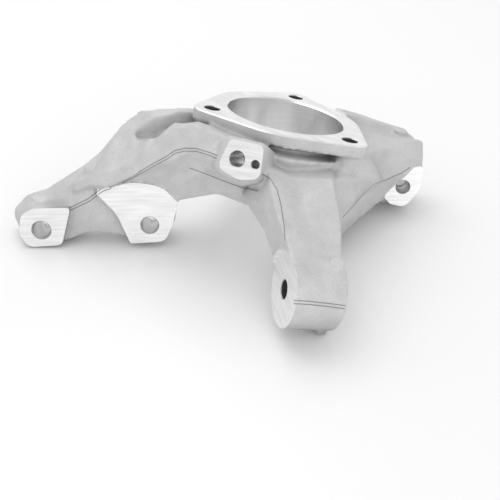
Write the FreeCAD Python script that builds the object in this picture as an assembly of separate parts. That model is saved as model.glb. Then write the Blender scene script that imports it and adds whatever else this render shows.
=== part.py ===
import FreeCAD, Part
import math
import os
from FreeCAD import Placement, Rotation, Vector

# Steering knuckle for a MacPherson strut suspension: one aluminium casting, machined where it mates.
# Everything is laid out in the hub frame, in millimetres: the origin is the centre of the hub bore on
# the bearing flange, +Z points out of the wheel side, -X towards the strut, +X towards the lower ball
# joint and -Y along the steering arm. The finished casting is then tipped onto its three feet.

# Hub flange and bore
HUB_BORE_R = 46.0
FLANGE_LAND = 13.5
FLANGE_EDGE = 5.0
FLANGE_CHAMFER = 0.8
BOLT_HOLE_R = 6.0
BOLT_HOLE_DEPTH = 26.0
BOLT_CIRCLE_R = 61.5
BOLT_LOBE_R = 13.8
BOLT_AZIMUTHS = (-160.0, -40.0, 80.0)
COVE_DEPTH = 4.5
SHOULDER_OVERHANG = 4.5
SHOULDER_DROP = 13.0
BARREL_DEPTH = 60.0
BARREL_WALL = 11.5
BORE_LAND = 34.0
BORE_RELIEF = 3.0

# Strut flange, with two bolt holes across it
STRUT_HOLE_REACH = 89.9
STRUT_HOLE_DROP = 97.5
STRUT_PITCH = 85.2
STRUT_RAKE = 13.6
STRUT_INNER_R = 6.9
STRUT_OUTER_R = 7.4
STRUT_FACE_Y = -36.0
STRUT_THICKNESS = 29.0
PAD_RISE = 5.0
END_SLANT = 15.0
BACK_DRAFT = 4.5

# Steering arm and its tie rod boss
TIE_BOSS = (10.2, -141.3, -81.6)
TIE_YAW = 14.0
TIE_BOSS_R = 26.5
TIE_BOSS_LENGTH = 36.0
TIE_BORE_R = 6.6
TIE_RELIEF = 7.0
TIE_RELIEF_LENGTH = 10.0

# Lower ball joint arm, with the pinch bolt and the stud bore
PINCH_HOLE = (107.2, -44.0)
PINCH_R = 5.6
PINCH_FACE_Y = 8.0
BALL_ARM_WIDTH = 38.0
BALL_ARM_END = 119.0
STUD_BORE_R = 9.5
STUD_BORE_LENGTH = 42.0
STUD_GROOVE = 2.0
CLAMP_SLIT = 4.0

# Wheel speed sensor boss
SENSOR_AZIMUTH = -112.0
SENSOR_TILT = 10.0
SENSOR_FACE = (-34.8, -79.0, -17.2)
SENSOR_BOSS_DEPTH = 34.0
SENSOR_BORE_R = 5.6
SENSOR_SCREW_R = 2.9
SENSOR_SCREW_REACH = 14.1
SENSOR_SCREW_DEPTH = 18.0

# Ejector nubs of the casting
NUB_R = 5.5
NUB_RISE = 3.0

# Pose on the table
LEAN_TO_BALL_JOINT = 10.8
LEAN_TO_BACK = 10.9

FLANGE_R = HUB_BORE_R + FLANGE_LAND
SHOULDER_R = FLANGE_R + SHOULDER_OVERHANG
BARREL_R = HUB_BORE_R + BARREL_WALL
RAKE = math.radians(STRUT_RAKE)
STRUT_BACK_Y = STRUT_FACE_Y + STRUT_THICKNESS
BALL_ARM_BACK_Y = PINCH_FACE_Y + BALL_ARM_WIDTH
STUD_Y = PINCH_FACE_Y + 0.47 * BALL_ARM_WIDTH
STUD_Z = PINCH_HOLE[1] + PINCH_R + STUD_BORE_R - STUD_GROOVE
OUT = Vector(0, 0, 1)
AWAY = Vector(0, 1, 0)


def rounded_wire(corners, place):
    """Closed wire through (a, b, radius) corners, each one rounded; place turns (a, b) into a point."""
    count = len(corners)
    arcs = []
    for i, (a, b, radius) in enumerate(corners):
        here = Vector(a, b, 0)
        before = Vector(corners[i - 1][0], corners[i - 1][1], 0)
        after = Vector(corners[(i + 1) % count][0], corners[(i + 1) % count][1], 0)
        back = (before - here).normalize()
        ahead = (after - here).normalize()
        half = 0.5 * back.getAngle(ahead)
        reach = radius / math.tan(half)
        middle = here + (back + ahead).normalize() * (radius / math.sin(half) - radius)
        arcs.append([place(p.x, p.y) for p in (here + back * reach, middle, here + ahead * reach)])
    edges = []
    for i, arc in enumerate(arcs):
        edges.append(Part.Arc(*arc).toShape())
        edges.append(Part.LineSegment(arc[2], arcs[(i + 1) % count][0]).toShape())
    return Part.Wire(edges)


def at_x(x):
    """Plane across the arms: (y, z) at one x."""
    return lambda y, z: Vector(x, y, z)


def at_y(y):
    """Plane square to the strut bolts: (x, z) at one y."""
    return lambda x, z: Vector(x, y, z)


def strut_plane(y, origin_along=0.0):
    """Plane of the strut flange: along the line of its holes from the inner one, and up from that line."""
    def place(along, up):
        s = along + origin_along
        x = -STRUT_HOLE_REACH - s * math.cos(RAKE) - up * math.sin(RAKE)
        z = -STRUT_HOLE_DROP - s * math.sin(RAKE) + up * math.cos(RAKE)
        return Vector(x, y, z)
    return place


def loft(wires, ruled=False):
    return Part.makeLoft(wires, True, ruled)


def across_x(stations):
    return loft([rounded_wire(corners, at_x(x)) for x, corners in stations])


def prism(wire, direction):
    return Part.Face(wire).extrude(direction)


def cylinder(start, direction, radius, length):
    return Part.makeCylinder(radius, length, start, direction)


def bolt_centre(azimuth, z=0.0):
    angle = math.radians(azimuth)
    return Vector(BOLT_CIRCLE_R * math.cos(angle), BOLT_CIRCLE_R * math.sin(angle), z)


def flange():
    """Rounded-triangular bearing flange: a disc that swells into a lobe round each of the three bolts."""
    spread = math.degrees(math.acos((FLANGE_R - BOLT_LOBE_R) / BOLT_CIRCLE_R))

    def on_disc(azimuth):
        angle = math.radians(azimuth)
        return Vector(FLANGE_R * math.cos(angle), FLANGE_R * math.sin(angle), 0)

    def on_lobe(azimuth, turn):
        angle = math.radians(azimuth + turn)
        return bolt_centre(azimuth) + Vector(math.cos(angle), math.sin(angle), 0) * BOLT_LOBE_R

    edges = []
    for azimuth in BOLT_AZIMUTHS:
        follow = azimuth + 360.0 / len(BOLT_AZIMUTHS)
        first = on_disc(azimuth + spread)
        last = on_disc(follow - spread)
        enter = on_lobe(azimuth, -spread)
        leave = on_lobe(azimuth, spread)
        edges.append(Part.LineSegment(on_disc(azimuth - spread), enter).toShape())
        edges.append(Part.Arc(enter, on_lobe(azimuth, 0), leave).toShape())
        edges.append(Part.LineSegment(leave, first).toShape())
        edges.append(Part.Arc(first, on_disc(0.5 * (azimuth + follow)), last).toShape())
    body = prism(Part.Wire(edges), Vector(0, 0, -FLANGE_EDGE - COVE_DEPTH))
    top_edges = [edge for edge in body.Edges if abs(edge.BoundBox.ZMin) < 0.01]
    return body.makeChamfer(FLANGE_CHAMFER, top_edges)


def barrel():
    """Hub carrier: a cove under the flange, a shoulder below it and a drafted barrel down to the mouth."""
    cove_r = FLANGE_R - COVE_DEPTH
    cove_z = -FLANGE_EDGE - COVE_DEPTH
    neck = Vector(FLANGE_R, 0, -FLANGE_EDGE)
    deep = Vector(cove_r, 0, cove_z)
    crest = Vector(SHOULDER_R, 0, -SHOULDER_DROP)
    mouth = Vector(BARREL_R, 0, -BARREL_DEPTH)
    upper = Vector(cove_r + 1.0, 0, 0.5 * (neck.z + cove_z))
    lower = Vector(cove_r + 3.0, 0, 0.5 * (cove_z + crest.z) - 0.7)
    belly = Vector(SHOULDER_R - 1.0, 0, 0.5 * (crest.z + mouth.z))
    top_centre = Vector(0, 0, -FLANGE_EDGE)
    mouth_centre = Vector(0, 0, mouth.z)
    profile = [
        Part.LineSegment(top_centre, neck).toShape(),
        Part.Arc(neck, upper, deep).toShape(),
        Part.Arc(deep, lower, crest).toShape(),
        Part.Arc(crest, belly, mouth).toShape(),
        Part.LineSegment(mouth, mouth_centre).toShape(),
        Part.LineSegment(mouth_centre, top_centre).toShape(),
    ]
    return Part.Face(Part.Wire(profile)).revolve(Vector(0, 0, 0), OUT, 360)


def bolt_columns():
    """Material under each lobe that the bolt threads run into."""
    wide = BOLT_LOBE_R - 1.5
    narrow = BOLT_LOBE_R - 4.5
    return [
        Part.makeCone(wide, narrow, BOLT_HOLE_DEPTH, bolt_centre(azimuth, -0.5 * FLANGE_EDGE), -OUT)
        for azimuth in BOLT_AZIMUTHS
    ]


def strut_arm():
    """Arm from the hub carrier up to the strut flange, swelling along its front parting line."""
    face = STRUT_FACE_Y
    back = STRUT_BACK_Y
    hole = -STRUT_HOLE_REACH
    low = -STRUT_HOLE_DROP
    hub = -SHOULDER_R
    front = -SHOULDER_R
    web = face + PAD_RISE
    # Corners at each station: crest, back rim, back sole, front sole, top of the pad, parting line
    arm = across_x([
        (hole - 62, ((face + 2, low + 23, 2), (back, low + 27, 2), (back, low + 5, 3),
                     (web + 3, low + 1, 3), (web + 1, low + 11, 2), (face + 1, low + 17, 3))),
        (hole - 49, ((face, low + 33, 2), (back, low + 42, 2), (back, low + 5, 3),
                     (web + 3, low + 3, 3), (web, low + 19, 2), (face - 2, low + 26, 3))),
        (hole - 33, ((face - 2, low + 40, 2), (back, low + 70, 2), (back, low + 7, 3),
                     (web + 3, low + 5, 3), (web - 2, low + 25, 2), (face - 7, low + 32, 3))),
        (hole - 22, ((face - 3, low + 50, 2), (back, low + 82, 2), (back, low + 9, 3),
                     (web + 3, low + 7, 3), (web - 3, low + 30, 2), (face - 11, low + 40, 4))),
        (hole - 10, ((face - 5, low + 63, 2), (back, -12, 2), (back + 2, low + 13, 3),
                     (web + 3, low + 9, 3), (web - 3, low + 32, 3), (face - 15, low + 49, 5))),
        (hole + 6, ((face - 10, -15, 3), (back, -8, 2), (back + 5, low + 21, 4),
                    (web + 1, low + 15, 4), (web - 4, low + 31, 4), (face - 22, -35, 6))),
        (hub - 2, ((front + 11, -10, 3), (back + 4, -7, 3), (back + 9, low + 27, 5),
                   (face - 4, low + 28, 4), (face - 11, low + 31, 5), (front - 2, -27, 7))),
        (hub + 20, ((front + 5, -11, 3), (0, -8, 3), (10, -BARREL_DEPTH - 2, 6),
                    (-48, -BARREL_DEPTH + 2, 5), (front + 7, -54, 6), (front - 10, -25, 8))),
        (hub + 50, ((front + 1, -11, 3), (0, -9, 3), (10, -BARREL_DEPTH + 2, 6),
                    (-50, -BARREL_DEPTH + 2, 6), (front + 4, -54, 7), (front - 13, -27, 8))),
    ])
    return arm.cut(strut_pocket())


def strut_pocket():
    """Pocket cast into the top of the arm beside the flange, deepest at its outer end."""
    hole = -STRUT_HOLE_REACH
    rim = STRUT_BACK_Y - 5.0
    open_z = 20.0
    return across_x([
        (hole - 23.5, ((rim - 12, open_z, 1), (rim - 6, open_z, 1), (rim - 7, -31, 1), (rim - 11, -31, 1))),
        (hole - 19, ((rim - 19, open_z, 2), (rim - 2, open_z, 2), (rim - 5, -34, 3), (rim - 16, -35, 3))),
        (hole - 8, ((rim - 23, open_z, 2), (rim, open_z, 2), (rim - 4, -32, 4), (rim - 19, -32, 4))),
        (hole + 8, ((rim - 26, open_z, 2), (rim + 1, open_z, 2), (rim - 3, -21, 4), (rim - 24, -21, 4))),
        (hole + 32, ((rim - 32, open_z, 2), (rim + 3, open_z, 2), (rim - 2, -13, 3), (rim - 30, -13, 3))),
    ])


def strut_blade():
    """Flat flange of the strut, as cast, between its two machined pads."""
    tip = STRUT_PITCH
    reach = tip + END_SLANT

    def sole(draft):
        return [
            (tip - 14.5, draft - 13, 3), (tip - 38, draft - 5.5, 30), (20, draft - 11, 8),
            (-10, draft - 13.5, 7), (-20, draft + 2, 8), (-23, 20, 5), (0, 38, 12),
        ]

    near = sole(0.0) + [
        (24, 46, 14), (40, 44, 14), (52, 38.5, 12), (tip - 5, 22, 10), (tip + 8, 19, 6),
        (tip + 16.5, 8, 6), (tip + 17.5, -4, 6), (tip + 11, -13.5, 7),
    ]
    far = sole(BACK_DRAFT) + [
        (24, 52, 14), (44, 46, 14), (56, 40, 12), (tip - 2, 24.5, 10), (reach, 20, 8),
        (reach + 12, 8.5, 5), (reach + 13, 0, 5), (reach + 4, BACK_DRAFT - 13.5, 9),
    ]
    near_wire = rounded_wire(near, strut_plane(STRUT_FACE_Y + PAD_RISE))
    far_wire = rounded_wire(far, strut_plane(STRUT_BACK_Y))
    return loft([near_wire, far_wire], ruled=True)


def tip_outline():
    """Square-shouldered pad round the outer strut hole, measured from that hole."""
    return [(-25, 17.5, 2), (-14.5, -13.5, 5), (12.5, -14, 8), (17.8, -2, 6), (14.5, 13, 6), (4, 18.5, 4)]


def fan_outline():
    """Fan-shaped pad round the inner strut hole, measured from that hole."""
    return [
        (39, 28.5, 1), (25, 11, 30), (16.5, -14.8, 1), (-11, -14.5, 9), (-18, 0, 8), (-24, 18, 2),
        (-13, 31.5, 24), (12, 37.5, 40), (37, 31.5, 2),
    ]


def strut_pads():
    """Raised bolting pads of the strut flange."""
    depth = AWAY * (PAD_RISE + 1.5)
    outer = prism(rounded_wire(tip_outline(), strut_plane(STRUT_FACE_Y, STRUT_PITCH)), depth)
    inner = prism(rounded_wire(fan_outline(), strut_plane(STRUT_FACE_Y)), depth)
    return [outer, inner]


def tie_axis():
    yaw = math.radians(TIE_YAW)
    return Vector(math.cos(yaw), math.sin(yaw), 0)


def steering_arm():
    """Leg down to the tie rod boss: two ridges with a shallow valley between them on its front."""
    across = tie_axis()
    half = 0.5 * TIE_BOSS_LENGTH
    root = Vector(4, 24 - SHOULDER_R, -22)
    eye_centre = Vector(*TIE_BOSS) + across * half
    run = eye_centre - root

    def station(share, shift, wide, up, corners):
        origin = root + run * share + shift
        wide.normalize()
        up.normalize()
        return rounded_wire(corners, lambda a, b: origin + wide * a + up * b)

    return loft([
        station(0.0, Vector(0, 0, 0), Vector(1, 0, 0), Vector(0, 0.1, 1),
                [(-30, 4, 4), (3, -1, 6), (32, 4, 3), (38, -30, 8), (-28, -38, 10)]),
        station(0.35, Vector(-5.5, 0, 18.5), Vector(1, 0.05, 0), Vector(0, -0.35, 0.94),
                [(-18, 6, 3), (10, 0, 8), (29, 3, 3), (38, -34, 8), (-32, -36, 10)]),
        station(0.66, Vector(-2.5, 0, 15.5), Vector(1, 0.12, 0), Vector(0, -0.55, 0.83),
                [(-12, 4, 3), (10, -1, 8), (27, 3, 4), (30, -34, 8), (-27, -33, 10)]),
        station(1.0, Vector(0, 12, 18), across, Vector(0, -0.8, 0.6),
                [(2 - half, 8, 4), (4, 5, 8), (half, 8, 6), (half, -28, 8), (-half, -28, 8)]),
    ])


def tie_relief():
    """Scoop that clears the front of the leg from the end of the tie rod boss."""
    start = Vector(*TIE_BOSS) - tie_axis()
    ring = cylinder(start, tie_axis(), TIE_BOSS_R + TIE_RELIEF, TIE_RELIEF_LENGTH)
    outer = 2.0 * TIE_BOSS_R
    corners = (Vector(0, 0, 0), Vector(0, -outer, 0), Vector(0, -outer, outer), Vector(0, 2, outer))
    sector = [start + corner for corner in corners]
    keep = Part.Face(Part.makePolygon(sector + [sector[0]])).extrude(tie_axis() * TIE_RELIEF_LENGTH)
    return ring.common(keep)


def tie_boss():
    return cylinder(Vector(*TIE_BOSS), tie_axis(), TIE_BOSS_R, TIE_BOSS_LENGTH)


def front_web():
    """Wall that joins the steering arm to the ball joint arm round the flange's corner lobe."""
    lobe = bolt_centre(BOLT_AZIMUTHS[1])

    def level(drop, along, outward):
        def place(x, y):
            return Vector(lobe.x + x, lobe.y + y, -drop + along * (lobe.x + x) + outward * (lobe.y + y))
        return place

    top = [(-30, -19, 5), (-8, -15, 8), (9, -8, 8), (13, 2, 8), (14, 26, 6), (10, 60, 5), (-30, 60, 5)]
    rib = [(-30, -21, 5), (-6, -19, 8), (13, -9, 9), (21, 4, 8), (26, 30, 8), (22, 62, 5), (-30, 62, 5)]
    rim = [(-30, -22, 5), (-1, -21, 6), (10, -6, 10), (22, 16, 8), (40, 36, 8), (40, 68, 5), (-30, 68, 5)]
    foot = [(-30, -8, 5), (0, -15, 6), (11, 1, 8), (24, 20, 8), (44, 43, 8), (40, 68, 5), (-30, 68, 5)]
    return loft([
        rounded_wire(top, level(FLANGE_EDGE + 2.0, 0.0, 0.0)),
        rounded_wire(rib, level(SHOULDER_DROP + 13.0, 0.0, 0.0)),
        rounded_wire(rim, level(56.0, 0.22, 0.33)),
        rounded_wire(foot, level(80.0, 0.22, 0.33)),
    ], ruled=True)


def ball_joint_arm():
    """Beam from the hub carrier to the lower ball joint, with a raised wall along its back."""
    back = BALL_ARM_BACK_Y
    near = PINCH_FACE_Y
    end = BALL_ARM_END
    sole = PINCH_HOLE[1] - 17.6
    # Corners at each station: near edge, floor, foot and top of the wall, back, sole and near side
    return across_x([
        (end - 79, ((near - 42, -12, 4), (back - 16, -8, 4), (back - 10, -1, 2), (back, -2, 2),
                    (back + 2, sole, 8), (near - 8, sole - 12, 10), (near - 42, sole, 6))),
        (end - 55, ((near - 22, -14, 3), (back - 19, -9, 3), (back - 13, -1, 2), (back - 2, -2, 2),
                    (back, sole + 2, 8), (near, sole - 4, 8), (near - 22, sole + 12, 4))),
        (end - 35, ((near - 11, -10, 3), (back - 20, -7, 3), (back - 14, -1, 2), (back - 4, -2, 2),
                    (back, sole + 1, 8), (near + 8, sole - 1, 8), (near - 12, sole + 23, 4))),
        (end - 17, ((near - 8, -6, 3), (back - 22, -6, 3), (back - 15, -3, 2), (back - 6, -4, 2),
                    (back, sole - 3, 8), (near + 10, sole - 3, 8), (near - 8, sole + 31, 4))),
        (end - 7, ((near - 7, -9, 3), (back - 22, -8, 3), (back - 15, -8, 2), (back - 7, -9, 2),
                   (back, sole - 3, 8), (near + 10, sole - 3, 8), (near - 7, sole + 32, 4))),
        (end, ((near - 4, -22, 3), (back - 22, -18, 3), (back - 16, -17, 2), (back - 8, -18, 2),
               (back - 2, sole + 4, 8), (near + 10, sole + 2, 8), (near - 4, sole + 30, 4))),
    ])


def pinch_outline():
    x, z = PINCH_HOLE
    return [
        (x - 14, z - 9.5, 4), (x + 3.5, z + 20, 3), (x + 12.5, z + 19.5, 2), (x + 14, z, 12),
        (x + 6, z - 16.5, 7), (x - 7, z - 16.5, 6),
    ]


def pinch_boss():
    """Clamp block round the pinch bolt."""
    return prism(rounded_wire(pinch_outline(), at_y(PINCH_FACE_Y)), AWAY * BALL_ARM_WIDTH)


def spot_faces():
    """Cutter sweeps that leave the pads of the strut flange and of the pinch bolt flat."""
    sweep = AWAY * -26.0
    return [
        prism(rounded_wire(tip_outline(), strut_plane(STRUT_FACE_Y, STRUT_PITCH)), sweep),
        prism(rounded_wire(fan_outline(), strut_plane(STRUT_FACE_Y)), sweep),
        prism(rounded_wire(pinch_outline(), at_y(PINCH_FACE_Y)), sweep),
    ]


def sensor_frame():
    """Outward normal, sideways and upward directions of the sensor face."""
    azimuth = math.radians(SENSOR_AZIMUTH)
    tilt = math.radians(SENSOR_TILT)
    normal = Vector(math.cos(azimuth) * math.cos(tilt), math.sin(azimuth) * math.cos(tilt), math.sin(tilt))
    sideways = OUT.cross(normal).normalize()
    return normal, sideways, normal.cross(sideways)


def sensor_boss():
    """Boss for the wheel speed sensor: its face leans back to the cast wall by a wide bevel."""
    normal, sideways, upward = sensor_frame()

    def level(depth):
        centre = Vector(*SENSOR_FACE) - normal * depth
        return lambda a, b: centre + sideways * a + upward * b

    # Corners: upper left, upper right, lower right, bottom, lower left
    face = [(-8, 12.5, 4), (17, 14.5, 4), (20, -9, 6), (4, -13.5, 12), (-12.5, -9.5, 5)]
    skirt = [(-14, 14, 6), (17.5, 16, 4), (21.5, -11, 6), (4, -18.5, 12), (-18, -12.5, 6)]
    wall = [(-18, 12, 8), (18, 14.5, 4), (22, -12, 6), (4, -20, 12), (-23, -10, 7)]
    root = [(-18, 8, 8), (18, 8, 4), (22, -12, 6), (4, -20, 12), (-23, -10, 7)]
    return loft([
        rounded_wire(face, level(0.0)),
        rounded_wire(skirt, level(4.0)),
        rounded_wire(wall, level(9.0)),
        rounded_wire(root, level(SENSOR_BOSS_DEPTH)),
    ], ruled=True)


def nub(point, direction):
    """Stub left by an ejector pin."""
    root = point - direction * (2.0 * NUB_RISE)
    return Part.makeCone(NUB_R, 0.8 * NUB_R, 3.0 * NUB_RISE, root, direction)


def nubs():
    up = Vector(0, -0.2, 0.98).normalize()
    boss_foot = Vector(*TIE_BOSS) + tie_axis() * (0.9 * TIE_BOSS_LENGTH) + Vector(0, -3.5, 0.2 - TIE_BOSS_R)
    tip_top = strut_plane(STRUT_FACE_Y + 12.0, STRUT_PITCH)(1.5, 20.5)
    return [
        nub(boss_foot, -OUT),
        nub(tip_top, up),
        nub(Vector(-141.5, -26.0, -64.0), up),
        nub(Vector(99.0, BALL_ARM_BACK_Y - 11.0, -5.0), up),
    ]


def bores():
    """Everything that is bored, drilled or slit after casting."""
    through = BARREL_DEPTH + 80.0
    tie = tie_axis()
    inner_hole = strut_plane(STRUT_FACE_Y - 1.0)(0.0, 0.0)
    outer_hole = strut_plane(STRUT_FACE_Y - 1.0)(STRUT_PITCH, 0.0)
    pinch_x, pinch_z = PINCH_HOLE
    normal, sideways, _ = sensor_frame()
    face = Vector(*SENSOR_FACE)
    screw = face + sideways * SENSOR_SCREW_REACH + normal
    stud = Vector(BALL_ARM_END + 2.0, STUD_Y, STUD_Z)
    slit_corner = Vector(BALL_ARM_END - STUD_BORE_LENGTH, STUD_Y - 0.5 * CLAMP_SLIT, STUD_Z - 60.0)
    cuts = [
        cylinder(OUT, -OUT, HUB_BORE_R, through),
        cylinder(OUT * -BORE_LAND, -OUT, HUB_BORE_R + BORE_RELIEF, through),
        cylinder(inner_hole, AWAY, STRUT_INNER_R, 2.0 * STRUT_THICKNESS),
        cylinder(outer_hole, AWAY, STRUT_OUTER_R, 2.0 * STRUT_THICKNESS),
        cylinder(Vector(*TIE_BOSS) - tie, tie, TIE_BORE_R, TIE_BOSS_LENGTH + 2.0),
        cylinder(Vector(pinch_x, PINCH_FACE_Y - 30.0, pinch_z), AWAY, PINCH_R, BALL_ARM_WIDTH + 60.0),
        cylinder(stud, Vector(-1, 0, 0), STUD_BORE_R, STUD_BORE_LENGTH + 2.0),
        Part.makeBox(STUD_BORE_LENGTH + 10.0, CLAMP_SLIT, 60.0, slit_corner),
        cylinder(face + normal, -normal, SENSOR_BORE_R, 2.0 * SENSOR_BOSS_DEPTH),
        cylinder(screw, -normal, SENSOR_SCREW_R, SENSOR_SCREW_DEPTH + 1.0),
    ]
    for azimuth in BOLT_AZIMUTHS:
        cuts.append(cylinder(bolt_centre(azimuth, 1.0), -OUT, BOLT_HOLE_R, BOLT_HOLE_DEPTH + 1.0))
    return cuts


def knuckle():
    leg = steering_arm().cut(tie_relief())
    body = barrel()
    for solid in [strut_arm(), strut_blade(), ball_joint_arm(), pinch_boss(), front_web(), leg]:
        body = body.fuse(solid)
    for solid in bolt_columns() + strut_pads() + [flange(), tie_boss()]:
        body = body.fuse(solid)
    for cutter in spot_faces():
        body = body.cut(cutter)
    for solid in [sensor_boss()] + nubs():
        body = body.fuse(solid)
    for cutter in bores():
        body = body.cut(cutter)
    return body


def rest_pose(shape):
    """Tips the casting from the hub frame onto the table, about the hub centre."""
    lean = Rotation(Vector(1, 0, 0), -LEAN_TO_BACK) * Rotation(Vector(0, 1, 0), LEAN_TO_BALL_JOINT)
    shape.Placement = Placement(Vector(0, 0, 0), lean)
    return shape


os.makedirs("parts", exist_ok=True)
casting = knuckle()
print("solids", len(casting.Solids), "valid", casting.isValid(), "volume cm3", casting.Volume / 1000.0)
rest_pose(casting).exportStep("parts/knuckle.step")
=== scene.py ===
"""Looks of a cast and machined aluminium steering knuckle that lies on a pale reflecting table."""

import math

import bmesh
import bpy
from mathutils import Matrix, Vector
from mathutils.bvhtree import BVHTree


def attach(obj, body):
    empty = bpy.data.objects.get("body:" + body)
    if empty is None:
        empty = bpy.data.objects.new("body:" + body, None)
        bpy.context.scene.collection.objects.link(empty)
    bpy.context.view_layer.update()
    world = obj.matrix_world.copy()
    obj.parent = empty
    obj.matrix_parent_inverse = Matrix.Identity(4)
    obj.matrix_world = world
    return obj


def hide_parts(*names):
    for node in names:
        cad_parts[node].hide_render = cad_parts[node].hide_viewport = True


MM = 0.001

# Pose of the casting: its hub frame, tipped onto the table about the hub centre
LEAN_TO_BALL_JOINT = math.radians(10.8)
LEAN_TO_BACK = math.radians(10.9)
HUB = Matrix.Rotation(-LEAN_TO_BACK, 4, "X") @ Matrix.Rotation(LEAN_TO_BALL_JOINT, 4, "Y")
TABLE_Z = -90.0 * MM

# Machined features in the hub frame: lengths in millimetres, azimuths of the lobes in degrees
FLANGE_R = 59.5
LOBE_CIRCLE_R = 61.5
LOBE_R = 13.8
LOBE_AZIMUTHS = (-160.0, -40.0, 80.0)
FLANGE_CHAMFER = 0.9
HUB_BORE_R = 46.0
HUB_RELIEF_R = 49.0
HUB_LAND = 34.0
HUB_DEPTH = 60.0
BOLT_HOLE_R = 6.0
BOLT_HOLE_DEPTH = 26.0
STRUT_FACE_Y = -36.0
STRUT_THICKNESS = 29.0
STRUT_INNER_HOLE = (-89.9, -97.5)
STRUT_PITCH = 85.2
STRUT_RAKE = math.radians(13.6)
STRUT_INNER_R = 6.9
STRUT_OUTER_R = 7.4
PINCH_FACE_Y = 8.0
PINCH_HOLE = (107.2, -44.0)
PINCH_R = 5.6
PINCH_LENGTH = 38.0
STUD_CENTRE = (119.0, 25.86, -30.9)
STUD_R = 9.5
STUD_LENGTH = 42.0
SLIT = 4.0
TIE_BOSS = (10.2, -141.3, -81.6)
TIE_YAW = math.radians(14.0)
TIE_BOSS_LENGTH = 36.0
TIE_BORE_R = 6.6
SENSOR_FACE = (-34.8, -79.0, -17.2)
SENSOR_AZIMUTH = math.radians(-112.0)
SENSOR_TILT = math.radians(10.0)
SENSOR_BORE_R = 5.6
SENSOR_SCREW_R = 2.9
SENSOR_SCREW_REACH = 14.1
SENSOR_SCREW_DEPTH = 18.0
SENSOR_BORE_LENGTH = 41.0
COUNTERSINK = 0.5
HUB_COUNTERSINK = 1.2

# As-cast forms in the hub frame, in millimetres
FLANGE_EDGE = 5.0
COVE_TOP = 9.5
COVE_FOOT = 13.0
COVE_R = 54.5
SHOULDER_R = 64.0
SHOULDER_DROP = 15.5
BARREL_R = 57.5
PAD_RISE = 5.0
END_SLANT = 15.0
BACK_DRAFT = 4.5
COLUMN_TOP_INSET = 1.5
COLUMN_FOOT_INSET = 4.5
PAD_ROOT = PAD_RISE + 1.5
POCKET_RIM = 5.0
LEG_ROOT = (4.0, -40.0, -22.0)
TIE_BOSS_R = 26.5
BALL_ARM_END = 119.0
WALL_FOOT = 13.0
SOLE_DROP = 17.6
SENSOR_BOSS_DEPTH = 34.0
NUB_R = 6.4
NUB_RISE = 3.0
CREST_NUB = (-141.5, -26.0, -64.0)
WALL_NUB = (99.0, 33.0, -6.5)
LEG_NUB = (41.0, -142.5, -56.5)
BOSS_NUB_REACH = 0.9 * TIE_BOSS_LENGTH
BOSS_NUB_SHIFT = (0.0, -3.5, 0.2 - TIE_BOSS_R)
TIP_NUB = (1.5, 20.5)
TIP_NUB_DEPTH = 12.0

# Camera, in millimetres and degrees, and table, in metres
CAMERA_PLACE = (-28.2, -637.5, 316.9)
CAMERA_PITCH = 35.0
CAMERA_LENS = 64.8
FLOOR_HALF = 6.0
WALL_LIGHT = 0.9
CEILING_LIGHT = 0.45

# Casting skin: metal left for machining, and how far fillers and cutters run into or past the metal
ALLOWANCE = 5.0
OVERLAP = 0.5
FACING_MARGIN = 0.6
FACING_CLEAR = 4.0
RUN_OUT = 12.0
SLIT_FILL_DEPTH = 34.0
SLIT_CUT_DEPTH = 50.0
SLIT_RUN_OUT = 10.0
COARSE_ROUND = 48
ROUND = 96
BARREL_ROUND = 128
FINE_ROUND = 256
LOBE_STEPS = 24
CORNER_STEPS = 5
VOXEL = 1.25
SKIN_ROUNDS = 4
SHARP_ANGLE = math.radians(38.0)

# Tones and shares of metal
CAST_TONE = 0.6
# Mould lines are darker than the casting: dirt along them and painted shade beside the ridge
LINE_DIRT_AND_SHADE_TONE = 0.3
CAST_METALLIC = 0.3
MILLED_TONES = (0.76, 0.94)
BORE_BASE_TONE = 0.86
BORED_TONES = (0.9, 0.96)
# Drilled walls are darker than the bores: painted shade inside the small holes
DRILLED_SHADE_TONES = (0.42, 0.55)
TABLE_TONE = 0.95

# Lines that the mould left on the casting, as pixels of the photograph, and half the gap between a pair
PHOTO_CENTRE = 250.0
PHOTO_FOCAL = 900.0
ARM_PARTING = (
    (70, 209), (89, 200), (102, 190), (115, 186), (135.5, 176), (148, 168), (167, 157.5), (175, 152),
    (185, 149.6), (196, 150), (207, 153), (217, 157),
)
UNDER_SENSOR = ((190, 168), (206, 174), (226, 182), (243, 188), (258, 191))
LEG_PARTING = ((262, 174), (270, 178.5), (277, 189), (281, 205), (284, 225), (285, 240))
BOSS_PARTING = ((294, 302), (310, 303), (328, 305), (347, 307.5))
WEB_PARTING = (
    (343, 217), (352, 207), (361, 196.5), (369, 189), (375, 183.5), (386, 180), (393, 176.5), (401, 173.5),
    (410, 167.5),
)
PAIR_GAP = 1.1
LINE_WIDTH = 0.32

STRUT_OUTER_HOLE = (
    STRUT_INNER_HOLE[0] - STRUT_PITCH * math.cos(STRUT_RAKE),
    STRUT_INNER_HOLE[1] - STRUT_PITCH * math.sin(STRUT_RAKE),
)
TIE_AXIS = Vector((math.cos(TIE_YAW), math.sin(TIE_YAW), 0.0))
SENSOR_NORMAL = Vector((
    math.cos(SENSOR_AZIMUTH) * math.cos(SENSOR_TILT),
    math.sin(SENSOR_AZIMUTH) * math.cos(SENSOR_TILT),
    math.sin(SENSOR_TILT),
))
SENSOR_SIDE = Vector((-math.sin(SENSOR_AZIMUTH), math.cos(SENSOR_AZIMUTH), 0.0))
SENSOR_UP = SENSOR_NORMAL.cross(SENSOR_SIDE)
STRUT_BACK_Y = STRUT_FACE_Y + STRUT_THICKNESS
BALL_ARM_BACK_Y = PINCH_FACE_Y + PINCH_LENGTH
LEG_FACING = Vector((0.0, -0.5, 0.866))
OUT = Vector((0.0, 0.0, 1.0))
AWAY = Vector((0.0, 1.0, 0.0))

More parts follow.
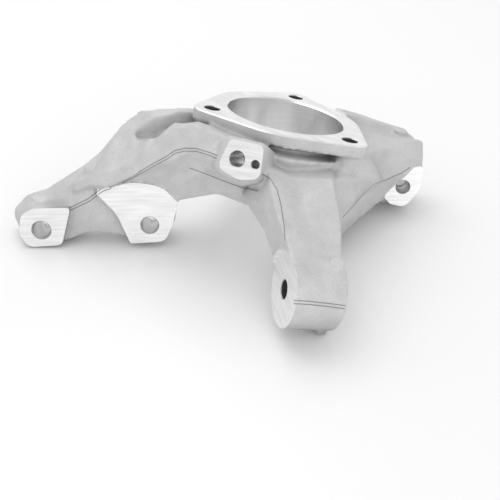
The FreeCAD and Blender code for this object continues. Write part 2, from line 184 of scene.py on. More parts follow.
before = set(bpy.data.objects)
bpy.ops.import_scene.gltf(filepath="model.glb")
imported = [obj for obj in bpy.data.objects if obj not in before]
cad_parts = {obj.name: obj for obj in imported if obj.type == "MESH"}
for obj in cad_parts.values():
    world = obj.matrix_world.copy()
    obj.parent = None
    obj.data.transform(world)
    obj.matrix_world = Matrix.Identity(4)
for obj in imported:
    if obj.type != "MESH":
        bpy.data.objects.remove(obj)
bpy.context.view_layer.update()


def row_point(p):
    """A point of the hub frame, in millimetres, as a point of the row frame, in metres."""
    return HUB @ (Vector(p) * MM)


def mesh_object(name, verts, faces):
    """Object in the scene with a mesh of these points and faces."""
    mesh = bpy.data.meshes.new(name)
    mesh.from_pydata(verts, [], faces)
    mesh.validate()
    obj = bpy.data.objects.new(name, mesh)
    bpy.context.scene.collection.objects.link(obj)
    return obj


def stack(name, rings, material=None):
    """Closed solid through rings of hub-frame points that have one count, capped at both ends."""
    count = len(rings[0])
    verts = [row_point(p) for ring in rings for p in ring]
    faces = [tuple(range(count))[::-1], tuple(range(len(verts) - count, len(verts)))]
    for k in range(len(rings) - 1):
        low = k * count
        for i in range(count):
            j = (i + 1) % count
            faces.append((low + i, low + j, low + count + j, low + count + i))
    obj = mesh_object(name, verts, faces)
    bm = bmesh.new()
    bm.from_mesh(obj.data)
    bmesh.ops.triangulate(bm, faces=[f for f in bm.faces if len(f.verts) > 4])
    bmesh.ops.recalc_face_normals(bm, faces=bm.faces)
    bm.to_mesh(obj.data)
    bm.free()
    if material is not None:
        obj.data.materials.append(material)
    return obj


def circle(centre, axis, radius, count=ROUND):
    """Points of a circle round an axis, all in the hub frame."""
    axis = axis.normalized()
    side = axis.orthogonal().normalized()
    up = axis.cross(side)
    turns = [math.tau * i / count for i in range(count)]
    return [Vector(centre) + (side * math.cos(t) + up * math.sin(t)) * radius for t in turns]


def drill(name, mouth, into, radius, depth, material, countersink=COUNTERSINK, count=ROUND):
    """Cutter of a round hole with a small countersink at its mouth."""
    mouth = Vector(mouth)
    rings = [
        circle(mouth - into * RUN_OUT, into, radius + countersink, count),
        circle(mouth, into, radius + countersink, count),
        circle(mouth + into * countersink, into, radius, count),
        circle(mouth + into * depth, into, radius, count),
    ]
    return stack(name, rings, material)


def plug(name, mouth, into, radius, depth, rise=ALLOWANCE):
    """Solid that fills a hole before the skin is made."""
    mouth = Vector(mouth)
    ends = (mouth - into * rise, mouth + into * depth)
    return stack(name, [circle(end, into, radius, COARSE_ROUND) for end in ends])


def flange_outline(inset, z):
    """Outline of the bearing flange: a disc with a lobe round each bolt."""
    disc = FLANGE_R - inset
    lobe = LOBE_R - inset
    spread = math.acos((disc - lobe) / LOBE_CIRCLE_R)
    points = []
    for azimuth in LOBE_AZIMUTHS:
        middle = math.radians(azimuth)
        follow = middle + math.tau / len(LOBE_AZIMUTHS)
        centre = Vector((math.cos(middle), math.sin(middle), 0.0)) * LOBE_CIRCLE_R
        for i in range(LOBE_STEPS + 1):
            turn = middle - spread + 2.0 * spread * i / LOBE_STEPS
            points.append(centre + Vector((math.cos(turn), math.sin(turn), 0.0)) * lobe + OUT * z)
        start = middle + spread
        end = follow - spread
        for i in range(LOBE_STEPS + 1):
            turn = start + (end - start) * i / LOBE_STEPS
            points.append(Vector((math.cos(turn), math.sin(turn), 0.0)) * disc + OUT * z)
    return points


def face_outline(solid, point, normal, reach):
    """Outer outline of the solid's flat face on the plane through a hub-frame point, in the hub frame."""
    back = HUB.inverted()
    off_plane = 0.06
    flat_enough = 0.999
    weld = 1e5
    flat = []
    mesh = solid.data
    for poly in mesh.polygons:
        centre = back @ poly.center / MM
        if abs((centre - point).dot(normal)) > off_plane or (centre - point).length > reach:
            continue
        if (back.to_3x3() @ poly.normal).dot(normal) > flat_enough:
            flat.append(poly)
    keys = {}
    for v in {i for poly in flat for i in poly.vertices}:
        keys[v] = tuple(round(c * weld) for c in mesh.vertices[v].co)
    edges = {}
    for poly in flat:
        ring = [keys[i] for i in poly.vertices]
        for a, b in zip(ring, ring[1:] + ring[:1]):
            if (b, a) in edges:
                del edges[(b, a)]
            else:
                edges[(a, b)] = True
    follow = dict(edges.keys())
    loops = []
    while follow:
        first, here = next(iter(follow.items()))
        loop = [first]
        del follow[first]
        while here != first:
            loop.append(here)
            here = follow.pop(here)
        loops.append([back @ Vector([c / weld for c in p]) / MM for p in loop])
    loops.sort(key=lambda loop: -sum((a - b).length for a, b in zip(loop, loop[1:])))
    return loops[0]


def grown(outline, normal, step):
    """An outline that runs anticlockwise about its normal, moved outwards in its plane by step."""
    count = len(outline)
    least_mitre = 0.5
    moved = []
    for i, here in enumerate(outline):
        before = (here - outline[i - 1]).normalized()
        after = (outline[(i + 1) % count] - here).normalized()
        aside = (before + after).cross(normal).normalized()
        moved.append(here + aside * (step / max(least_mitre, before.cross(normal).dot(aside))))
    return moved


def slab(name, outline, normal, low, high, step=0.0, material=None):
    """Prism on an outline between two heights over its plane."""
    ring = grown(outline, normal, step) if step else outline
    return stack(name, [[p + normal * low for p in ring], [p + normal * high for p in ring]], material)


def modifier(obj, kind, **settings):
    """Adds one modifier and applies it."""
    mod = obj.modifiers.new(kind.lower(), kind)
    for key, value in settings.items():
        setattr(mod, key, value)
    graph = bpy.context.evaluated_depsgraph_get()
    made = bpy.data.meshes.new_from_object(obj.evaluated_get(graph), depsgraph=graph)
    obj.modifiers.clear()
    old = obj.data
    obj.data = made
    bpy.data.meshes.remove(old)


def join(name, objs):
    """One mesh from several, without merging them."""
    bm = bmesh.new()
    for obj in objs:
        bm.from_mesh(obj.data)
    mesh = bpy.data.meshes.new(name)
    bm.to_mesh(mesh)
    bm.free()
    made = bpy.data.objects.new(name, mesh)
    bpy.context.scene.collection.objects.link(made)
    return made


def drop(objs):
    """Removes helper objects and their meshes."""
    for obj in objs:
        mesh = obj.data
        bpy.data.objects.remove(obj)
        bpy.data.meshes.remove(mesh)


def rounded(corners, place):
    """Outline through (a, b, radius) corners, each one an arc; place turns (a, b) into a point."""
    points = []
    for i, (a, b, radius) in enumerate(corners):
        here = Vector((a, b))
        back = (Vector(corners[i - 1][:2]) - here).normalized()
        ahead = (Vector(corners[(i + 1) % len(corners)][:2]) - here).normalized()
        half = 0.5 * back.angle(ahead)
        centre = here + (back + ahead).normalized() * (radius / math.sin(half))
        first = here + back * (radius / math.tan(half)) - centre
        last = here + ahead * (radius / math.tan(half)) - centre
        for k in range(CORNER_STEPS + 1):
            spoke = first.lerp(last, k / CORNER_STEPS).normalized() * radius
            points.append(place(*(centre + spoke)))
    return points


def across_x(name, stations):
    """Form through outlines of (y, z) corners, each at its own x."""
    return stack(name, [[Vector((x, y, z)) for y, z in corners] for x, corners in stations])


def strut_plane(y, origin_along=0.0):
    """Plane of the strut flange: along the line of its holes from the inner one, and up from that line."""
    def place(along, up):
        s = along + origin_along
        x = STRUT_INNER_HOLE[0] - s * math.cos(STRUT_RAKE) - up * math.sin(STRUT_RAKE)
        z = STRUT_INNER_HOLE[1] - s * math.sin(STRUT_RAKE) + up * math.cos(STRUT_RAKE)
        return Vector((x, y, z))
    return place


def barrel():
    """Hub carrier: a cove under the flange, a shoulder below it and a drafted wall down to the mouth."""
    ease = 0.8
    turn_in = (-SHOULDER_DROP + ease, 0.5 * (COVE_R + SHOULDER_R))
    levels = [
        (-FLANGE_EDGE, COVE_R), (-COVE_FOOT, COVE_R), turn_in, (-SHOULDER_DROP, SHOULDER_R),
        (-HUB_DEPTH, BARREL_R),
    ]
    return stack("barrel_raw", [circle((0.0, 0.0, z), OUT, r, BARREL_ROUND) for z, r in levels])


def bolt_columns():
    """Metal under each lobe that the bolt threads run into."""
    made = []
    for azimuth in LOBE_AZIMUTHS:
        angle = math.radians(azimuth)
        top = Vector((math.cos(angle) * LOBE_CIRCLE_R, math.sin(angle) * LOBE_CIRCLE_R, -0.5 * FLANGE_EDGE))
        foot = top - OUT * BOLT_HOLE_DEPTH
        made.append(stack("bolt_column_raw", [
            circle(top, OUT, LOBE_R - COLUMN_TOP_INSET),
            circle(foot, OUT, LOBE_R - COLUMN_FOOT_INSET),
        ]))
    return made


def strut_arm():
    """Arm from the hub carrier up to the strut flange, swelling along its front parting line."""
    face = STRUT_FACE_Y
    back = STRUT_BACK_Y
    hole = STRUT_INNER_HOLE[0]
    low = STRUT_INNER_HOLE[1]
    hub = -SHOULDER_R
    front = -SHOULDER_R
    web = face + PAD_RISE
    deep = -HUB_DEPTH
    # Corners at each station: crest, back rim, back sole, front sole, crease, parting line
    arm = across_x("strut_arm_raw", [
        (hole - 62, ((face + 2, low + 23), (back, low + 27), (back, low + 5),
                     (web + 3, low + 1), (web + 1, low + 11), (face + 1, low + 17))),
        (hole - 49, ((face, low + 33), (back, low + 42), (back, low + 5),
                     (web + 3, low + 3), (web, low + 19), (face - 2, low + 26))),
        (hole - 33, ((face - 2, low + 40), (back, low + 70), (back, low + 7),
                     (web + 3, low + 5), (web - 2, low + 23), (face - 7, low + 29))),
        (hole - 22, ((face - 3, low + 47), (back, low + 82), (back, low + 9),
                     (web + 3, low + 7), (web - 3, low + 30), (face - 11, low + 40))),
        (hole - 10, ((face - 5, low + 63), (back, -12), (back + 2, low + 13),
                     (web + 3, low + 9), (web - 3, low + 32), (face - 15, low + 49))),
        (hole + 6, ((face - 10, -13), (back, -8), (back + 5, low + 21),
                    (web + 1, low + 15), (web - 4, low + 31), (face - 22, -35))),
        (hub - 2, ((front + 11, -6), (back + 4, -7), (back + 9, low + 27),
                   (face - 4, low + 28), (front + 14, -50), (front + 2, -22))),
        (hub + 20, ((front + 5, -9), (0, -8), (10, deep - 2),
                    (-48, deep + 2), (front + 10, -43), (front - 8, -21))),
        (hub + 50, ((front + 1, -11), (0, -9), (10, deep + 2),
                    (-50, deep + 2), (front + 4, -43), (front - 11, -24))),
    ])
    rim = STRUT_BACK_Y - POCKET_RIM
    open_z = 20.0
    # The pocket in its top beside the flange, deepest at its outer end
    cut(arm, [across_x("strut_pocket", [
        (hole - 23.5, ((rim - 12, open_z), (rim - 6, open_z), (rim - 7, -31), (rim - 11, -31))),
        (hole - 19, ((rim - 19, open_z), (rim - 2, open_z), (rim - 5, -34), (rim - 16, -35))),
        (hole - 8, ((rim - 23, open_z), (rim, open_z), (rim - 4, -32), (rim - 19, -32))),
        (hole + 8, ((rim - 26, open_z), (rim + 1, open_z), (rim - 3, -21), (rim - 24, -21))),
        (hole + 32, ((rim - 32, open_z), (rim + 3, open_z), (rim - 2, -13), (rim - 30, -13))),
    ])])
    return arm


def strut_blade():
    """Flat flange of the strut, as cast, between its two machined pads."""
    tip = STRUT_PITCH
    reach = tip + END_SLANT

    def sole(draft):
        return [
            (tip - 14.5, draft - 13, 3), (tip - 38, draft - 5.5, 30), (20, draft - 11, 8),
            (-10, draft - 13.5, 7), (-20, draft + 2, 8), (-23, 20, 5), (0, 38, 12),
        ]

    near = sole(0.0) + [
        (24, 46, 14), (40, 44, 14), (52, 38.5, 12), (tip - 5, 22, 10), (tip + 8, 19, 6),
        (tip + 16.5, 8, 6), (tip + 17.5, -4, 6), (tip + 11, -13.5, 7),
    ]
    far = sole(BACK_DRAFT) + [
        (24, 52, 14), (44, 46, 14), (56, 40, 12), (tip - 2, 24.5, 10), (reach, 20, 8),
        (reach + 12, 8.5, 5), (reach + 13, 0, 5), (reach + 4, BACK_DRAFT - 13.5, 9),
    ]
    return stack("strut_blade_raw", [
        rounded(near, strut_plane(STRUT_FACE_Y + PAD_RISE)),
        rounded(far, strut_plane(STRUT_BACK_Y)),
    ])


def steering_arm():
    """Leg down to the tie rod boss: a ridge on its left, a crease, and a flat web up to the right ridge."""
    half = 0.5 * TIE_BOSS_LENGTH
    root = Vector(LEG_ROOT)
    run = Vector(TIE_BOSS) + TIE_AXIS * half - root

    def station(share, shift, wide, up, corners):
        origin = root + run * share + Vector(shift)
        wide = Vector(wide).normalized()
        up = Vector(up).normalized()
        return [origin + wide * a + up * b for a, b in corners]

    # Corners at each station: left ridge, crease, right ridge, right back edges, left back edges
    return stack("steering_arm_raw", [
        station(0.0, (0, 0, 0), (1, 0, 0), (0, 0.1, 1),
                [(-30, 5), (-10, 0), (33, 4), (38, -26), (30, -34), (-20, -40), (-30, -30)]),
        station(0.35, (-5.5, 0, 18.5), (1, 0.05, 0), (0, -0.35, 0.94),
                [(-20, 6), (1, -1), (30, 3), (38, -28), (30, -38), (-20, -38), (-32, -26)]),
        station(0.66, (-2.5, 0, 15.5), (1, 0.12, 0), (0, -0.55, 0.83),
                [(-19, 6), (5, 0), (28, 3), (30, -22), (22, -30), (-16, -28), (-24, -18)]),
        station(1.0, (0, 0, 0), TIE_AXIS, LEG_FACING,
                [(2 - half, 29), (-2, 27), (half, 26), (half, -6), (half - 8, -16), (10 - half, -16),
                 (2 - half, -6)]),
    ])


def front_web():
    """Wall that joins the steering arm to the ball joint arm round the flange's corner lobe."""
    corner = math.radians(LOBE_AZIMUTHS[1])
    lobe = Vector((math.cos(corner), math.sin(corner))) * LOBE_CIRCLE_R

    def level(depth, outline, slope=(0.0, 0.0)):
        points = [(lobe.x + x, lobe.y + y) for x, y in outline]
        return [Vector((x, y, slope[0] * x + slope[1] * y - depth)) for x, y in points]

    top = [(-30, 14), (-8, 2), (4, -6), (11, 1), (12, 20), (10, 40), (4, 60), (-30, 60)]
    rib = [(-30, -19), (-4, -17), (13, -9), (28, 4), (32, 28), (30, 44), (26, 62), (-30, 62)]
    rim = [(-30, -22), (-1, -21), (10, -6), (22, 16), (40, 36), (55, 40), (55, 68), (-30, 68)]
    foot = [(-30, -8), (0, -15), (11, 1), (24, 20), (44, 43), (55, 50), (55, 68), (-30, 68)]
    top_depth = FLANGE_EDGE + 2.0
    rib_depth = 26.0
    rim_depth = 56.0
    foot_depth = 80.0
    sole_slope = (0.22, 0.33)
    return stack("front_web_raw", [
        level(top_depth, top), level(rib_depth, rib),
        level(rim_depth, rim, sole_slope), level(foot_depth, foot, sole_slope),
    ])


def ball_joint_arm():
    """Beam from the hub carrier to the lower ball joint, with a raised wall along its back."""
    back = BALL_ARM_BACK_Y
    foot = back - WALL_FOOT
    near = PINCH_FACE_Y
    end = BALL_ARM_END
    sole = PINCH_HOLE[1] - SOLE_DROP
    # Corners: near side, front of the floor, foot and top of the wall, back, soles, parting line
    return across_x("ball_joint_arm_raw", [
        (end - 79, ((near - 46, -16), (near - 18, -9), (foot, -7), (foot + 3, 1), (back + 1, 2),
                    (back + 2, sole), (near - 8, sole - 8), (near - 46, sole + 6))),
        (end - 55, ((near - 25, -13), (near - 12, -10), (foot, -8), (foot + 4, 0), (back + 1, 0),
                    (back, sole + 2), (near, sole - 4), (near - 24, sole + 12))),
        (end - 35, ((near - 11, -11), (near + 3, -9), (foot, -8), (foot + 4, -2.5), (back, -3),
                    (back, sole + 1), (near + 2, sole - 1), (near - 12, sole + 23))),
        (end - 17, ((near - 7, -3), (near + 9, -7), (foot - 1, -8), (foot + 4, -4), (back, -5),
                    (back, sole - 2), (near + 10, sole - 2), (near - 8, sole + 29))),
        (end - 7, ((near - 4, -2), (near + 10, -5), (foot - 1, -9), (foot + 3, -9), (back - 4, -10),
                   (back, sole), (near + 10, sole), (near - 7, sole + 32))),
        (end, ((near + 8, -19), (near + 15, -18), (foot - 2, -19), (foot + 2, -20), (back - 8, -21),
               (back - 2, sole + 4), (near + 10, sole + 2), (near - 2, sole + 30))),
    ])


def sensor_boss():
    """Boss for the wheel speed sensor, which widens behind its face."""
    def level(depth, corners):
        centre = Vector(SENSOR_FACE) - SENSOR_NORMAL * depth
        return rounded(corners, lambda a, b: centre + SENSOR_SIDE * a + SENSOR_UP * b)

    # Corners: upper left, upper right, lower right, bottom, lower left
    return stack("sensor_boss_raw", [
        level(0.0, [(-8, 12.5, 4), (17, 14.5, 4), (20, -9, 6), (4, -13.5, 12), (-12.5, -9.5, 5)]),
        level(4.0, [(-14, 14, 6), (17.5, 16, 4), (21.5, -11, 6), (4, -18.5, 12), (-18, -12.5, 6)]),
        level(9.0, [(-18, 12, 8), (18, 14.5, 4), (22, -12, 6), (4, -20, 12), (-23, -10, 7)]),
        level(SENSOR_BOSS_DEPTH, [(-18, 8, 8), (18, 8, 4), (22, -12, 6), (4, -20, 12), (-23, -10, 7)]),
    ])


def nubs():
    """Stubs left by the ejector pins."""
    up = Vector((0.0, -0.2, 0.98)).normalized()
    boss_foot = Vector(TIE_BOSS) + TIE_AXIS * BOSS_NUB_REACH + Vector(BOSS_NUB_SHIFT)
    tip_top = strut_plane(STRUT_FACE_Y + TIP_NUB_DEPTH, STRUT_PITCH)(*TIP_NUB)
    places = [
        (boss_foot, -OUT), (tip_top, up), (Vector(CREST_NUB), up), (Vector(WALL_NUB), up),
        (Vector(LEG_NUB), LEG_FACING),
    ]
    made = []
    for point, direction in places:
        root = point - direction * (2.0 * NUB_RISE)
        tip = point + direction * NUB_RISE
        made.append(stack("nub_raw", [
            circle(root, direction, NUB_R, COARSE_ROUND),
            circle(tip, direction, 0.8 * NUB_R, COARSE_ROUND),
        ]))
    return made


def across_bolt(hole, y):
    """Centre of a hole that runs along Y, where it meets its face."""
    return Vector((hole[0], y, hole[1]))


def machined_faces():
    """Flat machined faces: name, point, outward normal, reach of the outline, cut and metal behind."""
    inner = across_bolt(STRUT_INNER_HOLE, STRUT_FACE_Y)
    outer = across_bolt(STRUT_OUTER_HOLE, STRUT_FACE_Y)
    pinch = across_bolt(PINCH_HOLE, PINCH_FACE_Y)
    return [
        ("fan_pad", inner, -AWAY, 50.0, 30.0, PAD_ROOT),
        ("tip_pad", outer, -AWAY, 32.0, 12.0, PAD_ROOT),
        ("pinch_pad", pinch, -AWAY, 26.0, 14.0, PINCH_LENGTH),
        ("tie_face", Vector(TIE_BOSS), -TIE_AXIS, 30.0, 10.0, TIE_BOSS_LENGTH),
        ("sensor_face", Vector(SENSOR_FACE), SENSOR_NORMAL, 26.0, 14.0, 1.0),
    ]


def cut(obj, cutters):
    """Takes the cutters out of obj; the new surface gets each cutter's own material."""
    how = {"operation": "DIFFERENCE", "solver": "MANIFOLD", "material_mode": "TRANSFER"}
    for cutter in cutters:
        modifier(obj, "BOOLEAN", object=cutter, **how)
    drop(cutters)


def drilled_holes():
    """Round holes: name, mouth, direction into the metal, radius, wall length and how far a drill goes on."""
    inner = across_bolt(STRUT_INNER_HOLE, STRUT_FACE_Y)
    outer = across_bolt(STRUT_OUTER_HOLE, STRUT_FACE_Y)
    pinch = across_bolt(PINCH_HOLE, PINCH_FACE_Y)
    sensor = Vector(SENSOR_FACE)
    screw = sensor + SENSOR_SIDE * SENSOR_SCREW_REACH
    holes = [
        ("inner_bolt", inner, AWAY, STRUT_INNER_R, STRUT_THICKNESS, RUN_OUT),
        ("outer_bolt", outer, AWAY, STRUT_OUTER_R, STRUT_THICKNESS, RUN_OUT),
        ("tie_bore", Vector(TIE_BOSS), TIE_AXIS, TIE_BORE_R, TIE_BOSS_LENGTH, RUN_OUT),
        ("pinch_bolt", pinch, AWAY, PINCH_R, PINCH_LENGTH, RUN_OUT),
        ("stud_bore", Vector(STUD_CENTRE), Vector((-1.0, 0.0, 0.0)), STUD_R, STUD_LENGTH, 0.0),
        ("sensor_bore", sensor, -SENSOR_NORMAL, SENSOR_BORE_R, SENSOR_BORE_LENGTH, RUN_OUT),
        ("sensor_screw", screw, -SENSOR_NORMAL, SENSOR_SCREW_R, SENSOR_SCREW_DEPTH, 0.0),
    ]
    for azimuth in LOBE_AZIMUTHS:
        angle = math.radians(azimuth)
        mouth = Vector((math.cos(angle), math.sin(angle), 0.0)) * LOBE_CIRCLE_R
        holes.append((f"flange_bolt_{azimuth:.0f}", mouth, -OUT, BOLT_HOLE_R, BOLT_HOLE_DEPTH, 0.0))
    return holes


def grow_skin(outlines):
    """As-cast skin round all the forms, with no holes yet and metal left on the faces to be machined."""
    raw = [barrel(), strut_arm(), strut_blade(), ball_joint_arm(), front_web(), steering_arm(), sensor_boss()]
    raw += bolt_columns() + nubs()
    for name, _, normal, _, _, depth in machined_faces():
        raw.append(slab(name + "_raw", outlines[name], normal, -depth, ALLOWANCE))
    raw.append(stack("flange_raw", [flange_outline(0.0, -COVE_TOP), flange_outline(0.0, ALLOWANCE)]))
    for name, mouth, into, radius, length, _ in drilled_holes():
        rise = OVERLAP if name == "stud_bore" else ALLOWANCE
        raw.append(plug(name + "_raw", mouth, into, radius + OVERLAP, length - OVERLAP, rise))
    raw.append(plug("hub_raw", (0.0, 0.0, 0.0), -OUT, HUB_RELIEF_R + OVERLAP, HUB_DEPTH))
    raw.append(slit("slit_raw", SLIT + 2.0 * OVERLAP, -2.0 * OVERLAP, SLIT_FILL_DEPTH))
    skin = join("knuckle_casting", raw)
    drop(raw)
    modifier(skin, "REMESH", mode="VOXEL", voxel_size=VOXEL * MM)
    modifier(skin, "SMOOTH", factor=0.5, iterations=SKIN_ROUNDS)
    return skin


def slit(name, width, beyond, depth, material=None):
    """Saw slit of the clamp, from the stud bore down, which ends beyond the mouth of that bore."""
    mouth, y, top = STUD_CENTRE
    start = mouth - STUD_LENGTH
    end = mouth + beyond
    low = top - depth
    half = 0.5 * width
    corners = [(start, y - half), (end, y - half), (end, y + half), (start, y + half)]
    return stack(name, [[Vector((a, b, z)) for a, b in corners] for z in (low, top)], material)


def machine(skin, outlines, milled, bored, drilled):
    """Faces, bores and slits the skin as the real casting is machined."""
    brim = 1.5
    cutters = [stack("flange_facing", [
        flange_outline(FLANGE_CHAMFER, 0.0),
        flange_outline(-brim, -brim - FLANGE_CHAMFER),
        flange_outline(-FACING_CLEAR, -brim - FLANGE_CHAMFER),
        flange_outline(-FACING_CLEAR, 2.0 * ALLOWANCE),
    ], milled)]
    for name, _, normal, _, reach, _ in machined_faces():
        cutters.append(slab(name + "_facing", outlines[name], normal, 0.0, reach, FACING_MARGIN, milled))
    for name, mouth, into, radius, length, beyond in drilled_holes():
        cutters.append(drill(name, mouth, into, radius, length + beyond, drilled))
    centre = (0.0, 0.0, 0.0)
    land = HUB_LAND + 2.0 * OVERLAP
    cutters.append(drill("hub_bore", centre, -OUT, HUB_BORE_R, land, bored, HUB_COUNTERSINK, FINE_ROUND))
    ends = (-HUB_LAND, -HUB_DEPTH - RUN_OUT)
    relief = [circle((0.0, 0.0, z), OUT, HUB_RELIEF_R, FINE_ROUND) for z in ends]
    cutters.append(stack("hub_relief", relief, bored))
    cutters.append(slit("clamp_slit", SLIT, SLIT_RUN_OUT, SLIT_CUT_DEPTH, milled))
    cut(skin, cutters)


def casting(solid, cast, milled, bored, drilled):
    """The casting, in place of the plain solid."""
    outlines = {face[0]: face_outline(solid, *face[1:4]) for face in machined_faces()}
    skin = grow_skin(outlines)
    skin.data.materials.clear()
    skin.data.materials.append(cast)
    machine(skin, outlines, milled, bored, drilled)
    skin.data.shade_smooth()
    skin.data.set_sharp_from_angle(angle=SHARP_ANGLE)
    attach(skin, "root")
    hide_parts("knuckle")
    return skin


def photo_ray(pixel):
    """Direction in the row frame from the camera through a pixel of the photograph."""
    turn = Matrix.Rotation(math.radians(90.0 - CAMERA_PITCH), 3, "X")
    right = (pixel[0] - PHOTO_CENTRE) / PHOTO_FOCAL
    down = (pixel[1] - PHOTO_CENTRE) / PHOTO_FOCAL
    return (turn @ Vector((right, -down, -1.0))).normalized()


def dense(pixels):
    """The same line of pixels with a point about every pixel."""
    points = []
    for (ax, ay), (bx, by) in zip(pixels, pixels[1:]):
        count = max(1, round(math.hypot(bx - ax, by - ay)))
        points += [(ax + (bx - ax) * i / count, ay + (by - ay) * i / count) for i in range(count)]
    return points + [pixels[-1]]


def traced(tree, pixels):
    """Points where the rays through a line of pixels first meet the casting."""
    eye = Vector(CAMERA_PLACE) * MM
    hits = [tree.ray_cast(eye, photo_ray(pixel))[0] for pixel in dense(pixels)]
    return [hit for hit in hits if hit is not None]


def beside(tree, points, gap):
    """The traced points moved sideways along the surface by gap millimetres."""
    moved = []
    for i, here in enumerate(points):
        ahead = points[min(i + 1, len(points) - 1)] - points[max(i - 1, 0)]
        normal = tree.find_nearest(here)[1]
        aside = normal.cross(ahead).normalized() * (gap * MM)
        moved.append(tree.find_nearest(here + aside)[0])
    return moved


def wire_along(curve, points):
    """One more run of a round wire through points of the row frame."""
    spline = curve.splines.new("POLY")
    spline.points.add(len(points) - 1)
    spline.points.foreach_set("co", [c for p in points for c in (*p, 1.0)])


def mould_lines(skin, material):
    """Thin flash lines where the halves of the mould met, half sunk into the casting, darker than the casting
    for dirt and painted shade.
    """
    tree = BVHTree.FromObject(skin, bpy.context.evaluated_depsgraph_get())
    curve = bpy.data.curves.new("mould_lines", "CURVE")
    curve.dimensions = "3D"
    curve.bevel_depth = LINE_WIDTH * MM
    curve.bevel_resolution = 1
    for pixels in (ARM_PARTING, BOSS_PARTING):
        points = traced(tree, pixels)
        wire_along(curve, beside(tree, points, PAIR_GAP))
        wire_along(curve, beside(tree, points, -PAIR_GAP))
    for pixels in (UNDER_SENSOR, LEG_PARTING, WEB_PARTING):
        wire_along(curve, traced(tree, pixels))
    round_wire = bpy.data.objects.new("mould_lines_curve", curve)
    bpy.context.scene.collection.objects.link(round_wire)
    graph = bpy.context.evaluated_depsgraph_get()
    mesh = bpy.data.meshes.new_from_object(round_wire.evaluated_get(graph), depsgraph=graph)
    bpy.data.objects.remove(round_wire)
    lines = bpy.data.objects.new("mould_lines", mesh)
    bpy.context.scene.collection.objects.link(lines)
    mesh.materials.clear()
    mesh.materials.append(material)
    mesh.shade_smooth()
    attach(lines, "root")


def metal(name, tone, roughness, metallic):
    """Grey material of one tone, roughness and share of metal."""
    material = bpy.data.materials.new(name)
    material.use_nodes = True
    shader = material.node_tree.nodes["Principled BSDF"]
    shader.inputs["Base Color"].default_value = (tone, tone, tone, 1.0)
    shader.inputs["Roughness"].default_value = roughness
    shader.inputs["Metallic"].default_value = metallic
    return material


def add_node(material, kind, **settings):
    """New node of a material or world, with its inputs and properties set."""
    made = material.node_tree.nodes.new("ShaderNode" + kind)
    for key, value in settings.items():
        if key in made.inputs:
            made.inputs[key].default_value = value
        else:
            setattr(made, key, value)
    return made


def link(material, source, target):
    """Joins an output to an input in a material's or world's nodes."""
    material.node_tree.links.new(source, target)


def remap(material, source, before, after):
    """Maps a value from the range before onto the range after, clamped."""
    ramp = add_node(material, "MapRange")
    ramp.inputs["From Min"].default_value = before[0]
    ramp.inputs["From Max"].default_value = before[1]
    ramp.inputs["To Min"].default_value = after[0]
    ramp.inputs["To Max"].default_value = after[1]
    link(material, source, ramp.inputs["Value"])
    return ramp.outputs["Result"]


def spread(material, source, low, high):
    """Maps a noise, which keeps near its middle, onto the range low to high."""
    return remap(material, source, (0.3, 0.7), (low, high))


def grey(material, value):
    """Grey colour from one value."""
    colour = add_node(material, "CombineColor")
    for channel in ("Red", "Green", "Blue"):
        link(material, value, colour.inputs[channel])
    return colour.outputs["Color"]


def times(material, first, second):
    """Product of two values."""
    product = add_node(material, "Math", operation="MULTIPLY")
    link(material, first, product.inputs[0])
    link(material, second, product.inputs[1])
    return product.outputs["Value"]


def noise(material, where, scale, detail=3.0):
    """Noise at these coordinates; a larger scale is finer."""
    made = add_node(material, "TexNoise", Scale=scale, Detail=detail)
    link(material, where, made.inputs["Vector"])
    return made.outputs["Fac"]


def shaded_hollow(material, distance, darkest):
    """Value that falls from 1 to darkest in the coves and corners: painted shade where light is blocked."""
    hollow = add_node(material, "AmbientOcclusion", Distance=distance * MM, samples=6)
    return remap(material, hollow.outputs["AO"], (0.25, 0.85), (darkest, 1.0))


def object_place(material, stretch=(1.0, 1.0, 1.0)):
    """Coordinates on the object, stretched along its axes."""
    place = add_node(material, "TexCoord").outputs["Object"]
    scaled = add_node(material, "Mapping", vector_type="POINT", Scale=stretch)
    link(material, place, scaled.inputs["Vector"])
    return scaled.outputs["Vector"]


def roughen(material, height, strength, distance):
    """Bumps a material's surface by a height."""
    bump = add_node(material, "Bump", Strength=strength, Distance=distance * MM)
    link(material, height, bump.inputs["Height"])
    link(material, bump.outputs["Normal"], material.node_tree.nodes["Principled BSDF"].inputs["Normal"])


def paint(material, value):
    """Gives a material a grey base colour from one value."""
    link(material, grey(material, value), material.node_tree.nodes["Principled BSDF"].inputs["Base Color"])


def cast_skin(name, tone):
    """As-cast aluminium: matt, finely grained and slightly mottled, with painted shade in its coves, corners
    and sheltered parts.
    """
    material = metal(name, tone, roughness=0.62, metallic=CAST_METALLIC)
    place = object_place(material)
    mottle = spread(material, noise(material, place, scale=70.0), low=0.93 * tone, high=1.07 * tone)
    speck = spread(material, noise(material, place, scale=900.0, detail=2.0), low=0.93, high=1.05)
    # Painted shade: darker in tight corners and, more broadly, where nearby parts keep light off the surface
    corners = shaded_hollow(material, distance=8.0, darkest=0.42)
    sheltered_shade = shaded_hollow(material, distance=50.0, darkest=0.68)
    paint(material, times(material, times(material, times(material, mottle, speck), corners), sheltered_shade))
    roughen(material, noise(material, place, scale=650.0, detail=4.0), strength=0.45, distance=0.3)
    return material


def milled_face(name):
    """Bright face left by a milling cutter, with faint streaks across it."""
    material = metal(name, 0.92, roughness=0.36, metallic=0.6)
    streaks = noise(material, object_place(material, stretch=(1.0, 1.0, 14.0)), scale=40.0)
    paint(material, spread(material, streaks, *MILLED_TONES))
    roughen(material, streaks, strength=0.12, distance=0.1)
    return material


def bored_wall(name, tones):
    """Wall of a bore, with fine turning rings."""
    material = metal(name, BORE_BASE_TONE, roughness=0.24, metallic=0.95)
    rings = noise(material, object_place(material, stretch=(0.4, 0.4, 30.0)), scale=30.0)
    paint(material, spread(material, rings, *tones))
    roughen(material, rings, strength=0.05, distance=0.1)
    return material


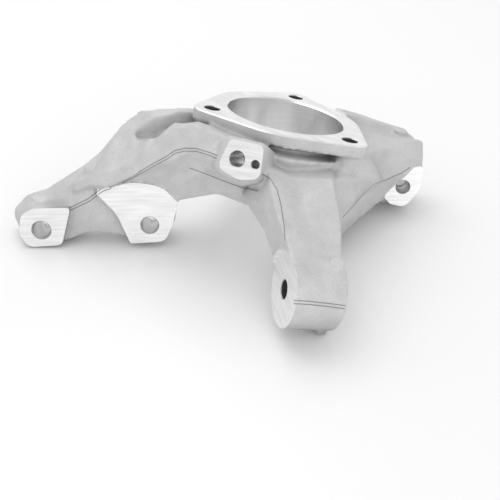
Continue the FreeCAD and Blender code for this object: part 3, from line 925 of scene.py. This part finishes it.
def look_through_camera():
    """Camera of the photograph: pitched down by 35 degrees, square to the row frame's X axis."""
    data = bpy.data.cameras.new("camera")
    camera = bpy.data.objects.new("camera", data)
    bpy.context.scene.collection.objects.link(camera)
    data.sensor_width = 36.0
    data.lens = CAMERA_LENS
    data.clip_end = 20.0
    camera.location = Vector(CAMERA_PLACE) * MM
    camera.rotation_euler = (math.radians(90.0 - CAMERA_PITCH), 0.0, 0.0)
    bpy.context.scene.camera = camera


def softbox(name, place, size, watts):
    """Square area light that faces the hub."""
    data = bpy.data.lights.new(name, "AREA")
    data.shape = "RECTANGLE"
    data.size = size
    data.size_y = size
    data.energy = watts
    light = bpy.data.objects.new(name, data)
    bpy.context.scene.collection.objects.link(light)
    light.location = Vector(place)
    light.rotation_euler = (-Vector(place)).to_track_quat("-Z", "Y").to_euler()


def studio():
    """Pale reflecting table, white surroundings and two softboxes."""
    bm = bmesh.new()
    bmesh.ops.create_grid(bm, x_segments=2, y_segments=2, size=FLOOR_HALF)
    mesh = bpy.data.meshes.new("floor")
    bm.to_mesh(mesh)
    bm.free()
    floor = bpy.data.objects.new("floor", mesh)
    bpy.context.scene.collection.objects.link(floor)
    floor.location = (0.0, 0.0, TABLE_Z)
    mesh.materials.append(metal("table", TABLE_TONE, roughness=0.26, metallic=0.0))
    world = bpy.data.worlds.new("surroundings")
    bpy.context.scene.world = world
    world.use_nodes = True
    # White walls that darken towards the ceiling
    background = world.node_tree.nodes["Background"]
    background.inputs["Color"].default_value = (1.0, 1.0, 1.0, 1.0)
    height = add_node(world, "SeparateXYZ")
    link(world, add_node(world, "TexCoord").outputs["Generated"], height.inputs["Vector"])
    light = remap(world, height.outputs["Z"], before=(0.6, 1.0), after=(WALL_LIGHT, CEILING_LIGHT))
    link(world, light, background.inputs["Strength"])
    softbox("back_softbox", place=(-0.4, 0.5, 1.4), size=1.4, watts=9.0)
    softbox("front_softbox", place=(0.4, -1.7, 0.5), size=1.4, watts=7.0)


look_through_camera()
studio()
skin = casting(
    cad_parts["knuckle"],
    cast=cast_skin("cast_skin", CAST_TONE),
    milled=milled_face("milled_faces"),
    bored=bored_wall("bored_walls", BORED_TONES),
    # Darker tones on the drilled walls paint the shade inside the small holes
    drilled=bored_wall("drilled_walls", DRILLED_SHADE_TONES),
)
mould_lines(skin, cast_skin("mould_line", LINE_DIRT_AND_SHADE_TONE))

view = bpy.context.scene.view_settings
view.view_transform = "Standard"
